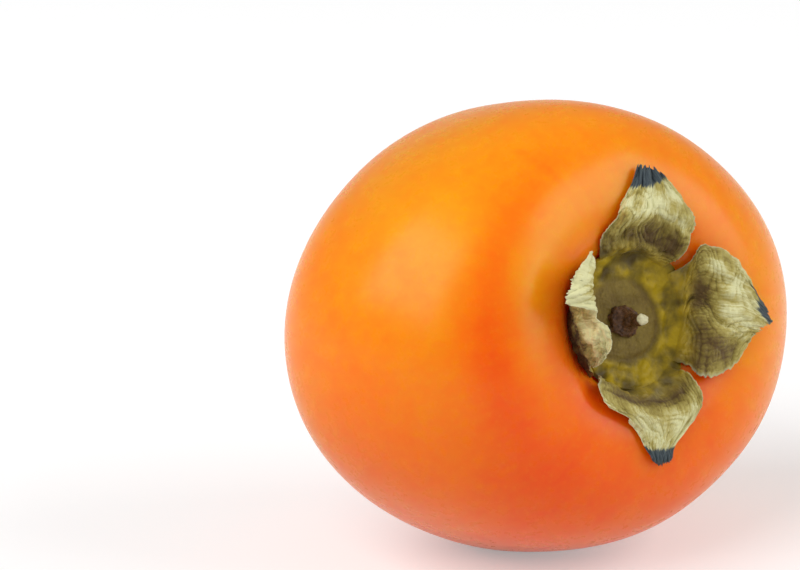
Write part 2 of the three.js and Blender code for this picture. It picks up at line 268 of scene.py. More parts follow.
@dataclass(frozen=True)
class WaxySkin:
    """Persimmon skin: a smooth, wax-coated cuticle over translucent flesh.

    The wax gives the eye broad soft highlights; the flesh under it a deep glow, cloudy mottling and
    faint streaks that run from the calyx to the far end. Its colour follows a mark that holds the
    fruit's blush together with painted shade and a painted highlight.

    Attributes:
        sunny: the colour where the skin is least red, as under the painted highlight; ripe and then the
            reddest colour follow as it reddens with blush and painted shade.
        fleck: the colour of its pores, which lie about fleck_mm apart.
        cloud_mm: the size of its large clouds of colour; mottle_mm is that of the small ones.
        streaks: turns of the streaks' noise for each radian round the fruit.
        peel_mm: the size of its finest relief, which is drawn as bump of strength peel_relief.
        roughness: how dull the wax is, and specular how strong its highlights are.
        glow_depth: how far red, green and blue light goes in the flesh, times glow_scale metres.
        glow_share: how much of the colour comes from light that has been in the flesh.
    """

    sunny: str = "#f4a009"
    ripe: str = "#f57a07"
    blush: str = "#ee4a03"
    fleck: str = "#fbb030"
    fleck_mm: float = 1.1
    cloud_mm: float = 26.0
    mottle_mm: float = 3.2
    streaks: float = 14.0
    peel_mm: float = 0.55
    peel_relief: float = 0.012
    roughness: float = 0.28
    specular: float = 0.2
    glow_share: float = 0.8
    glow_depth: Point = (1.0, 0.25, 0.05)
    glow_scale: float = 0.01

    def make(self) -> bpy.types.Material:
        """Makes the skin's material.

        Returns:
            The material; it reads the piece's mark of blush, painted shade and painted highlight, and its
            course (round_x, round_y, down).
        """
        material = blank("waxy_skin")
        place = add(material, "TexCoord").outputs["Object"]
        # painted shade and painted highlight: this mark holds them together with the fruit's blush
        blush = add(material, "Attribute", attribute_name="blush").outputs["Fac"]
        clouds = add(material, "TexNoise", {"Vector": place, "Scale": per_mm(self.cloud_mm),
                                            "Detail": 3.0}).outputs["Fac"]
        mottle = add(material, "TexNoise", {"Vector": place, "Scale": per_mm(self.mottle_mm),
                                            "Detail": 5.0, "Roughness": 0.65}).outputs["Fac"]
        drift = add(material, "MapRange", swing(clouds, 0.12))
        redness_and_painted_light = add(material, "Math", {0: blush, 1: drift.outputs[0]}, operation="ADD")
        grain = add(material, "MapRange", swing(mottle, 0.07))
        tone = add(material, "Math", {0: redness_and_painted_light.outputs[0], 1: grain.outputs[0]}, operation="ADD")
        way = {name: add(material, "Attribute", attribute_name=name).outputs["Fac"]
               for name in ("round_x", "round_y", "down")}
        course = add(material, "CombineXYZ", {0: way["round_x"], 1: way["round_y"], 2: way["down"]})
        streaks = add(material, "TexNoise", {"Vector": course.outputs[0], "Scale": self.streaks,
                                             "Detail": 4.0, "Roughness": 0.6}).outputs["Fac"]
        brushed = add(material, "MapRange", swing(streaks, 0.04))
        tone = add(material, "Math", {0: tone.outputs[0], 1: brushed.outputs[0]}, operation="ADD")
        body = add(material, "ValToRGB", {"Fac": tone.outputs[0]},
                   ramp=[(0.0, self.sunny), (0.5, self.ripe), (1.0, self.blush)])
        dots = add(material, "TexVoronoi", {"Vector": place, "Scale": per_mm(self.fleck_mm)})
        speck = add(material, "MapRange", {"Value": dots.outputs["Distance"], "From Min": 0.12,
                                           "From Max": 0.34, "To Min": 0.09, "To Max": 0.0})
        colour = add(material, "Mix", {"Factor": speck.outputs[0], "A": body.outputs["Color"],
                                       "B": linear(self.fleck)}, data_type="RGBA")
        peel = add(material, "TexNoise", {"Vector": place, "Scale": per_mm(self.peel_mm),
                                          "Detail": 2.0}).outputs["Fac"]
        bump = add(material, "Bump", {"Height": peel, "Strength": self.peel_relief, "Distance": 0.0001})
        rough = add(material, "MapRange", {"Value": mottle, "To Min": self.roughness - 0.05,
                                           "To Max": self.roughness + 0.05})
        shader = add(material, "BsdfPrincipled", {
            "Base Color": colour.outputs["Result"], "Roughness": rough.outputs[0],
            "Specular IOR Level": self.specular, "Subsurface Weight": self.glow_share,
            "Subsurface Radius": self.glow_depth, "Subsurface Scale": self.glow_scale,
            "Normal": bump.outputs[0]})
        add(material, "OutputMaterial", {"Surface": shader.outputs[0]})
        return material


@dataclass(frozen=True)
class WaxyTissue:
    """The living, waxy tissue of the calyx, shared by its middle and the lobes' roots.

    It gives the eye green-gold swellings with dark moss green between them: the blotches are its own
    colour, and the darkening down into the folds is painted shade.
    """

    gold: str = "#a88e12"
    moss: str = "#756315"
    shade: str = "#52431a"
    patch_mm: float = 3.4

    def colour(self, material: bpy.types.Material, place: bpy.types.NodeSocket,
               swell: bpy.types.NodeSocket) -> bpy.types.NodeSocket:
        """Adds the tissue's colour to a material: gold on its swellings, dark moss in its folds.

        Args:
            material: the material that gets the nodes.
            place: the Object coordinates.
            swell: how high the tissue swells at each point, in millimetres; lower places get painted
                shade.

        Returns:
            The colour.
        """
        patch = add(material, "TexNoise", {"Vector": place, "Scale": per_mm(self.patch_mm),
                                           "Detail": 4.0, "Roughness": 0.55}).outputs["Fac"]
        blotch = add(material, "MapRange", swing(patch, 0.34))
        # painted shade: the lower the tissue lies in its folds, the darker it is
        level = add(material, "Math", {0: swell, 1: 0.75, 2: 0.55}, operation="MULTIPLY_ADD")
        level = add(material, "Math", {0: level.outputs[0], 1: blotch.outputs[0]}, operation="ADD")
        return add(material, "ValToRGB", {"Fac": level.outputs[0]},
                   ramp=[(0.05, self.shade), (0.42, self.moss), (0.85, self.gold)]).outputs["Color"]


@dataclass(frozen=True)
class FleshyCalyx:
    """The fused middle of the calyx: half-dried, slightly waxy plant tissue.

    It gives the eye a dull grey-brown scar inside a faint ring, and waxy green-gold swellings round
    it; both carry painted shade, darker in the groove and low places and paler where they swell.
    """

    tissue: WaxyTissue = WaxyTissue()
    scar: str = "#83702f"
    scar_dark: str = "#5c481d"
    grain_mm: float = 0.5
    smear_mm: float = 4.5
    wrinkle_mm: float = 1.4

    def make(self) -> bpy.types.Material:
        """Makes the material of the calyx's middle.

        Returns:
            The material; it reads the piece's scar and swell.
        """
        material = blank("fleshy_calyx")
        place = add(material, "TexCoord").outputs["Object"]
        grain = add(material, "TexNoise", {"Vector": place, "Scale": per_mm(self.grain_mm),
                                           "Detail": 6.0, "Roughness": 0.7}).outputs["Fac"]
        smear = add(material, "TexNoise", {"Vector": place, "Scale": per_mm(self.smear_mm),
                                           "Detail": 3.0}).outputs["Fac"]
        scar_mark = add(material, "Attribute", attribute_name="scar").outputs["Fac"]
        swell = add(material, "Attribute", attribute_name="swell").outputs["Fac"]
        blend = add(material, "Math", {0: grain, 1: 0.45, 2: smear}, operation="MULTIPLY_ADD")
        # painted shade: the scar is darker in its groove and paler where it swells
        lit = add(material, "Math", {0: swell, 1: 0.5, 2: blend.outputs[0]}, operation="MULTIPLY_ADD")
        scar = add(material, "ValToRGB", {"Fac": lit.outputs[0]},
                   ramp=[(0.45, self.scar_dark), (0.95, self.scar)])
        waxy = self.tissue.colour(material, place, swell)
        colour = add(material, "Mix", {"Factor": scar_mark, "A": waxy,
                                       "B": scar.outputs["Color"]}, data_type="RGBA")
        rough = add(material, "MapRange", {"Value": scar_mark, "To Min": 0.45, "To Max": 0.6})
        wrinkles = add(material, "TexNoise", {"Vector": place, "Scale": per_mm(self.wrinkle_mm),
                                              "Detail": 4.0, "Distortion": 0.8}).outputs["Fac"]
        height = add(material, "Math", {0: grain, 1: 0.25, 2: wrinkles}, operation="MULTIPLY_ADD")
        bump = add(material, "Bump", {"Height": height.outputs[0], "Strength": 0.6, "Distance": 0.0004})
        shader = add(material, "BsdfPrincipled", {
            "Base Color": colour.outputs["Result"], "Roughness": rough.outputs[0],
            "Specular IOR Level": 0.2, "Normal": bump.outputs[0]})
        add(material, "OutputMaterial", {"Surface": shader.outputs[0]})
        return material


@dataclass(frozen=True)
class DriedSepal:
    """A dried calyx lobe: thin, papery leaf tissue with fine parallel veins.

    It gives the eye a dull grey-green to straw sheet, brown and darker in its folds, partly its own
    colour and partly painted shade, pale at its broken rim and blue-black at its withered tip, that turns
    waxy green-gold at its root. The fibres are a noise this many turns across the lobe and along it.
    """

    tissue: WaxyTissue = WaxyTissue()
    pale: str = "#d6d3a0"
    straw: str = "#ad9f54"
    olive: str = "#83722b"
    umber: str = "#553f14"
    back_pale: str = "#d0ca92"
    back: str = "#9a8a48"
    back_dark: str = "#4a3713"
    rim: str = "#d3d5b0"
    tip: str = "#4b585b"
    tip_dark: str = "#27313a"
    wrinkle_mm: float = 0.9
    fibres: Point = (62.0, 3.0, 1.0)

    def make(self) -> bpy.types.Material:
        """Makes the dried lobes' material.

        Returns:
            The material; it reads the piece's map coordinates and every mark of Sepal.marks.
        """
        material = blank("dried_sepal")
        place = add(material, "TexCoord").outputs["Object"]
        spread = add(material, "UVMap", uv_map="spread").outputs["UV"]
        lines = add(material, "Mapping", {"Vector": spread, "Scale": self.fibres})
        fibres = add(material, "TexNoise", {"Vector": lines.outputs[0], "Scale": 1.0, "Detail": 4.0,
                                            "Roughness": 0.6}).outputs["Fac"]
        wrinkles = add(material, "TexNoise", {"Vector": place, "Scale": per_mm(self.wrinkle_mm),
                                              "Detail": 6.0, "Roughness": 0.65,
                                              "Distortion": 0.6}).outputs["Fac"]
        marks = {name: add(material, "Attribute", attribute_name=name).outputs["Fac"]
                 for name in ("tone", "veins", "rim", "tip", "under", "root", "swell")}
        streak = add(material, "MapRange", swing(fibres, 0.15))
        patch = add(material, "MapRange", swing(wrinkles, 0.13))
        toned = add(material, "Math", {0: marks["tone"], 1: streak.outputs[0]}, operation="ADD")
        toned = add(material, "Math", {0: toned.outputs[0], 1: patch.outputs[0]}, operation="ADD")
        toned = add(material, "Math", {0: marks["veins"], 1: 0.11, 2: toned.outputs[0]},
                    operation="MULTIPLY_ADD")
        sheet = add(material, "ValToRGB", {"Fac": toned.outputs[0]},
                    ramp=[(0.05, self.umber), (0.36, self.olive), (0.66, self.straw), (1.0, self.pale)])
        waxy = self.tissue.colour(material, place, marks["swell"])
        rooted = add(material, "Mix", {"Factor": marks["root"], "A": sheet.outputs["Color"],
                                       "B": waxy}, data_type="RGBA")
        reverse = add(material, "ValToRGB", {"Fac": toned.outputs[0]},
                      ramp=[(0.1, self.back_dark), (0.5, self.back), (0.95, self.back_pale)])
        backed = add(material, "Mix", {"Factor": marks["under"], "A": rooted.outputs["Result"],
                                       "B": reverse.outputs["Color"]}, data_type="RGBA")
        edged = add(material, "Mix", {"Factor": marks["rim"], "A": backed.outputs["Result"],
                                      "B": linear(self.rim)}, data_type="RGBA")
        withered = add(material, "ValToRGB", {"Fac": fibres},
                       ramp=[(0.35, self.tip_dark), (0.65, self.tip)])
        colour = add(material, "Mix", {"Factor": marks["tip"], "A": edged.outputs["Result"],
                                       "B": withered.outputs["Color"]}, data_type="RGBA")
        height = add(material, "Math", {0: fibres, 1: wrinkles}, operation="ADD")
        bump = add(material, "Bump", {"Height": height.outputs[0], "Strength": 0.45, "Distance": 0.0002})
        rough = add(material, "MapRange", {"Value": marks["root"], "To Min": 0.78, "To Max": 0.5})
        shader = add(material, "BsdfPrincipled", {
            "Base Color": colour.outputs["Result"], "Roughness": rough.outputs[0],
            "Normal": bump.outputs[0], "Sheen Weight": 0.06})
        add(material, "OutputMaterial", {"Surface": shader.outputs[0]})
        return material


@dataclass(frozen=True)
class StemBark:
    """The stem's stub: corky bark round a snapped core of wood fibre.

    It gives the eye a dark, slightly polished foot with a dull, pale end.
    """

    bark: str = "#30180a"
    bark_light: str = "#7a5230"
    core: str = "#cfc8a0"
    grain_mm: float = 0.45

    def make(self) -> bpy.types.Material:
        """Makes the stem's material.

        Returns:
            The material; it reads the piece's cut.
        """
        material = blank("stem_bark")
        place = add(material, "TexCoord").outputs["Object"]
        grain = add(material, "TexNoise", {"Vector": place, "Scale": per_mm(self.grain_mm),
                                           "Detail": 6.0, "Roughness": 0.7}).outputs["Fac"]
        cut = add(material, "Attribute", attribute_name="cut").outputs["Fac"]
        bark = add(material, "ValToRGB", {"Fac": grain},
                   ramp=[(0.35, self.bark), (0.75, self.bark_light)])
        colour = add(material, "Mix", {"Factor": cut, "A": bark.outputs["Color"],
                                       "B": linear(self.core)}, data_type="RGBA")
        bump = add(material, "Bump", {"Height": grain, "Strength": 0.6, "Distance": 0.0002})
        shader = add(material, "BsdfPrincipled", {
            "Base Color": colour.outputs["Result"], "Roughness": 0.42, "Specular IOR Level": 0.4,
            "Normal": bump.outputs[0]})
        add(material, "OutputMaterial", {"Surface": shader.outputs[0]})
        return material


@dataclass(frozen=True)
class DriedStyle:
    """The withered style: brittle, dried plant tissue, which gives the eye a rough, dark grain."""

    dark: str = "#2a190d"
    light: str = "#5a3a1e"
    grain_mm: float = 0.4

    def make(self) -> bpy.types.Material:
        """Makes the dried style's material.

        Returns:
            The material, on Object coordinates alone.
        """
        material = blank("dried_style")
        place = add(material, "TexCoord").outputs["Object"]
        grain = add(material, "TexNoise", {"Vector": place, "Scale": per_mm(self.grain_mm),
                                           "Detail": 5.0})
        colour = add(material, "ValToRGB", {"Fac": grain.outputs["Fac"]},
                     ramp=[(0.35, self.dark), (0.7, self.light)])
        bump = add(material, "Bump", {"Height": grain.outputs["Fac"], "Strength": 0.6,
                                      "Distance": 0.0001})
        shader = add(material, "BsdfPrincipled", {
            "Base Color": colour.outputs["Color"], "Roughness": 0.7, "Normal": bump.outputs[0]})
        add(material, "OutputMaterial", {"Surface": shader.outputs[0]})
        return material


# ---------------------------------------------------------------- the fruit

@dataclass
class Flesh:
    """The flesh and its skin, and how the whole fruit lies.

    Sizes are in millimetres and turns in degrees. Those down to blossom_hollow are the solid's own.

    Attributes:
        finish: the skin's finish.
        tilt: how far the calyx looks up from the level.
        flat_depth: how much of the round side the flattened spot takes away.
        half_width: the mean radius across; calyx_reach and blossom_reach are those along the axis.
        calyx_squareness: the superellipse's power at the calyx end; blossom_squareness is the far end's.
        taper: how much wider the calyx end is than the middle, as a share.
        oval: how far it is from round across, as a share; oval_turn is where it is widest.
        four_sided: how far its four sides bulge, as a share; four_sided_turn is where one of them is.
        calyx_bowl: the wide hollow under the calyx, as its depth and width.
        calyx_pit: the steeper hollow in the bowl; blossom_hollow is the one at the far end.
        inset: how far the skin lies inside the solid.
        uneven: the height and the length of its faint random unevenness.
        pressed: the height of the four low swellings that the calyx's lobes press up round them.
        bend: the radius of the soft bend round the flattened spot.
        base_blush: how red the skin is all over.
        red_side: where the reddest side is, and red_side_blush_and_shade how much redder it is, as blush
            and painted shade on the lower side.
        shady_side: where the reddish ring of painted shade is strongest.
        ring: the middle and width of that ring, painted shade on the shoulder round the calyx, and
            ring_painted_shade how much redder it is.
        close_painted_shade: how much redder it is close to the calyx, away from the reddest side, as
            painted shadow of the lobes.
        painted_highlight_facing: the way that a paler patch of painted highlight faces, and
            painted_highlight_fade how much less red it is.
        rings: rings of points from end to end, and around the points in a ring.
    """

    finish: WaxySkin
    tilt: float = 16.0
    flat_depth: float = 0.8
    half_width: float = 40.0
    calyx_reach: float = 33.7
    blossom_reach: float = 34.2
    calyx_squareness: float = 2.81
    blossom_squareness: float = 1.79
    taper: float = 0.022
    oval: float = 0.081
    oval_turn: float = -2.6
    four_sided: float = 0.015
    four_sided_turn: float = -1.9
    calyx_bowl: tuple[float, float] = (5.0, 19.0)
    calyx_pit: tuple[float, float] = (6.6, 12.3)
    blossom_hollow: tuple[float, float] = (1.6, 7.0)
    inset: float = 0.14
    uneven: tuple[float, float] = (0.07, 21.0)
    pressed: float = 0.10
    bend: float = 0.35
    base_blush: float = 0.25
    red_side: float = -112.0
    red_side_blush_and_shade: float = 0.49
    shady_side: float = 160.0
    ring: tuple[float, float] = (28.6, 4.5)
    ring_painted_shade: float = 0.62
    close_painted_shade: float = 0.36
    painted_highlight_facing: Point = (-0.62, 0.41, 0.66)
    painted_highlight_fade: float = 0.42
    rings: int = 200
    around: int = 300

    def __post_init__(self) -> None:
        """Works out how far the lying flesh has to move for its flattened spot to meet the origin."""
        lean = math.radians(90 - self.tilt)
        self.turn = np.array([[1, 0, 0], [0, math.cos(lean), -math.sin(lean)],
                              [0, math.sin(lean), math.cos(lean)]])
        polar = np.linspace(0, math.pi, 721)[180:541, None]
        turn = np.linspace(-math.pi, 0, 361)[None, :]
        lying = self.surface(polar, turn) @ self.turn.T
        lowest = lying.reshape(-1, 3)[np.argmin(lying[..., 2])]
        self.shift = -lowest - np.array([0, 0, self.flat_depth])

    def surface(self, polar: Array, turn: Array) -> Array:
        """Points of the smooth skin.

        A superellipse whose reach and squareness change from the calyx end to the blossom end, oval
        and faintly four-sided across, with a hollow at each end.

        Args:
            polar: angle from the calyx pole, in radians.
            turn: angle round the axis, in radians.

        Returns:
            Points in the fruit's frame, in millimetres.
        """
        to_blossom = ease((1 - np.cos(polar)) / 2)
        reach = self.calyx_reach + (self.blossom_reach - self.calyx_reach) * to_blossom
        power = self.calyx_squareness + (self.blossom_squareness - self.calyx_squareness) * to_blossom
        size = ((np.abs(np.sin(polar)) / self.half_width) ** power
                + (np.abs(np.cos(polar)) / reach) ** power) ** (-1 / power)
        z = size * np.cos(polar)
        oval = self.oval * np.cos(2 * (turn - math.radians(self.oval_turn)))
        sides = self.four_sided * np.cos(4 * (turn - math.radians(self.four_sided_turn)))
        swell = (1 + self.taper * z / self.half_width) * (1 + (oval + sides) * np.sin(polar) ** 2)
        radius = size * np.sin(polar) * swell
        bowl_depth, bowl_width = self.calyx_bowl
        pit_depth, pit_width = self.calyx_pit
        blossom_depth, blossom_width = self.blossom_hollow
        dip = (-bowl_depth * np.exp(-(np.abs(radius) / bowl_width) ** 3)
               - pit_depth * np.exp(-(np.abs(radius) / pit_width) ** 5))
        dent = blossom_depth * hump(radius, blossom_width)
        z = z + np.where(z > 0, dip, dent)
        return round_axis(radius, turn, z)

    def blush(self, skin: Array) -> Array:
        """How red the skin is, 0 to 1.

        It reddens towards one side, as e^(1.7 (cos a - 1)) at an angle a from it, as blush and painted
        shade on the lower side; close to the calyx, as painted shadow of its lobes; and in a ring of
        painted shade on the shady shoulder. A patch of painted highlight is paler.

        Args:
            skin: points in the fruit's frame, in millimetres.

        Returns:
            One number for each point.
        """
        away = np.linalg.norm(skin[..., :2], axis=-1)
        aim = skin / np.linalg.norm(skin, axis=-1, keepdims=True)
        turn = np.arctan2(skin[..., 1], skin[..., 0])
        # blush and painted shade: redder towards the lower side
        side = np.exp(1.7 * (np.cos(turn - math.radians(self.red_side)) - 1))
        shady = 0.5 + 0.5 * np.cos(turn - math.radians(self.shady_side))
        # painted shade: a reddish ring on the shady shoulder round the calyx
        middle, width = self.ring
        ring = hump(away - middle, width) * ease(skin[..., 2] / 20) * shady ** 4
        # painted highlight: a paler patch where the left lamp's highlight falls
        front = np.array(self.painted_highlight_facing) / np.linalg.norm(self.painted_highlight_facing)
        painted_highlight = hump(np.arccos(np.clip(aim @ front, -1, 1)), 0.45)
        # painted shadow: redder close to the calyx, where its lobes shade the skin
        close = ease((22 - away) / 7) * (skin[..., 2] > 0)
        return (self.base_blush + self.red_side_blush_and_shade * side + self.ring_painted_shade * ring
                + self.close_painted_shade * close * (1 - 0.6 * side) - self.painted_highlight_fade * painted_highlight)

    def lay_down(self, points: Array) -> Array:
        """Lays points of the fruit's frame, in millimetres, in the shared frame, in metres."""
        return (points @ self.turn.T + self.shift) * MM

    def middle(self) -> Vector:
        """The fruit's centre in the shared frame, in metres."""
        return Vector(self.shift * MM)

    def build(self) -> bpy.types.Object:
        """Builds the skin: the surface with its faint relief, flattened where it rests.

        The height above the floor, h, becomes (h + sqrt(h^2 + b^2)) / 2, which is level where h is
        below 0 and meets the round side in a soft bend of radius b.

        Returns:
            The skin.
        """
        polar = np.linspace(0.004, math.pi - 0.004, self.rings)[::-1, None]
        turn = full_turn(self.around)
        skin = self.surface(polar, turn)
        out = facing(skin, closed=True)
        away = np.linalg.norm(skin[..., :2], axis=-1)
        height, length = self.uneven
        uneven = height * waves(skin, length, seed=3)
        pressed = self.pressed * np.cos(4 * turn + 0.6) * hump(away - 15, 8) * (skin[..., 2] > 0)
        skin = skin + out * (uneven + pressed - self.inset)[..., None]
        lying = self.lay_down(skin)
        bend = self.bend * MM
        lying[..., 2] = (lying[..., 2] + np.sqrt(lying[..., 2] ** 2 + bend ** 2)) / 2
        marks = {"blush": self.blush(skin), "round_x": np.cos(turn) + 0 * polar,
                 "round_y": np.sin(turn) + 0 * polar, "down": 0.25 * polar + 0 * turn}
        piece = closed_lathe("persimmon_skin", lying, marks)
        piece.data.materials.append(self.finish.make())
        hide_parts("fruit")
        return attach(piece, "root")


# ---------------------------------------------------------------- the calyx

STEM_BASE = 25.7  # height of the stem's base in the fruit's frame, in millimetres


def folds(flat: Array) -> Array:
    """Soft folds of the waxy tissue, in millimetres, at places (x, y) across the calyx."""
    return 0.28 * waves(flat, 5.6, seed=11, count=14) + 0.13 * waves(flat, 2.2, seed=12)


@dataclass
class CalyxDisc:
    """The fused middle of the calyx, with the stem scar, its ring-shaped groove and a waxy zone.

    Sizes are in millimetres.

    Attributes:
        finish: its finish.
        radius: from its middle to its rim, but for two changes at a place given in degrees.
        drawn_in: where the rim is drawn in behind the left-hand lobe, and by how much.
        reaches: where the rim reaches out between two lobes, and by how much.
        scar_radius: the middle of the groove round the stem scar; groove and lip are its relief.
        rise: how much higher the rim is than the scar.
        dip: how far the rim's last 0.5 mm dips under the lobes.
        thickness: from its upper side to its underside.
        rings: rings of points on either side, and around the points in a ring.
    """

    finish: FleshyCalyx
    radius: float = 11.7
    drawn_in: tuple[float, float] = (185.0, 1.8)
    reaches: tuple[tuple[float, float], ...] = ((36.0, 2.8), (-48.0, 1.6))
    scar_radius: float = 6.7
    groove: float = 0.26
    lip: float = 0.12
    rise: float = 1.35
    dip: float = 0.55
    thickness: float = 1.1
    rings: int = 90
    around: int = 300

    def build(self, flesh: Flesh) -> bpy.types.Object:
        """Builds the disc as a shell: its upper side outwards to the rim, then its underside back.

        Height over the stem's base is a faint ring groove and a lip outside it, plus a rise to the
        rim, plus the waxy folds, which start outside the scar.

        Args:
            flesh: the flesh that it lies on.

        Returns:
            The disc.
        """
        turn = full_turn(self.around)
        behind, drawn = self.drawn_in
        reach = self.radius - drawn * np.exp(2 * (np.cos(turn - math.radians(behind)) - 1))
        for place, extra in self.reaches:
            reach = reach + extra * np.exp(20 * (np.cos(turn - math.radians(place)) - 1))
        outward = np.linspace(0.02, 1, self.rings)[:, None] * reach
        flat = round_axis(outward, turn, outward)[..., :2]
        ring = self.scar_radius + 0.25 * np.cos(2 * turn + 0.5) + 0.15 * np.cos(3 * turn + 2.0)
        outside = ease((outward - ring + 0.6) / 2.0)
        swell = outside * folds(flat)
        sharp = 0.65 + 0.35 * np.cos(turn + 0.3)
        groove = (-self.groove * sharp * hump(outward - ring, 0.5)
                  + self.lip * sharp * hump(outward - ring - 1.1, 0.7))
        scar = (1 - outside) * (0.05 * waves(flat, 2.3, seed=13) + 0.03 * waves(flat, 0.7, seed=14))
        rise = self.rise * np.clip((outward - ring) / 4.9, 0, 1.1) ** 2.2
        sink = self.dip * ease((outward - reach + 0.5) / 0.5)
        height = STEM_BASE + rise + swell + groove + scar - sink
        top = np.concatenate([flat, height[..., None]], -1)
        depth = self.thickness * np.clip((reach - outward) / 2, 0.12, 1)
        under = top - np.array([0, 0, 1]) * depth[..., None]
        rings = np.concatenate([under, top[::-1]])
        scar_mark = np.broadcast_to(1 - outside, height.shape)
        # painted shade: the groove's depth darkens the colour there, and the lip beside it lightens it
        swell_mark = swell + 1.4 * groove
        marks = {"scar": np.concatenate([scar_mark, scar_mark[::-1]]),
                 "swell": np.concatenate([swell_mark, swell_mark[::-1]])}
        piece = closed_lathe("calyx_middle", flesh.lay_down(rings), marks)
        piece.data.materials.append(self.finish.make())
        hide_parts("calyx_disc")
        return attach(piece, "root")


class Lobe(Enum):
    """The calyx's four lobes, each with the name of the solid that it dresses."""

    UPPER = "sepal_upper"
    RIGHT = "sepal_right"
    LOWER = "sepal_lower"
    LEFT = "sepal_left"


class Edge(Enum):
    """A lobe's edges, each with the number that its nicks' random waves start from."""

    LEFT = 0
    RIGHT = 1
    TIP = 2


@dataclass(frozen=True)
class Tear:
    """A torn notch in a lobe's edge.

    Attributes:
        edge: which edge it is in.
        place: where it is along that edge, 0 to 1; width and depth are shares of the lobe.
    """

    edge: Edge
    place: float
    width: float
    depth: float


@dataclass(frozen=True)
class Shade:
    """A patch of a lobe that is darker or paler than the rest, and may be dented.

    Attributes:
        across: its middle, -1 at the lobe's left edge to 1 at its right; along is 0 to 1 to the tip.
        size: how far it reaches each way across the lobe and along it.
        tone: how much paler it is, or how much darker below 0. Darker patches are painted shade in the
            lobe's pouches, valleys and creases, in places also its brown colour; paler ones are painted
            highlight on its crests and folds, in places also its pale tissue.
        dent: its depth in millimetres.
    """

    across: float
    along: float
    size: tuple[float, float]
    tone: float
    dent: float = 0.0

    def cover(self, across: Array, along: Array) -> Array:
        """How much of the patch lies at each place of the lobe: 1 in its middle, 0 outside it."""
        far = ((across - self.across) / self.size[0]) ** 2 + ((along - self.along) / self.size[1]) ** 2
        return np.exp(-far ** 2)


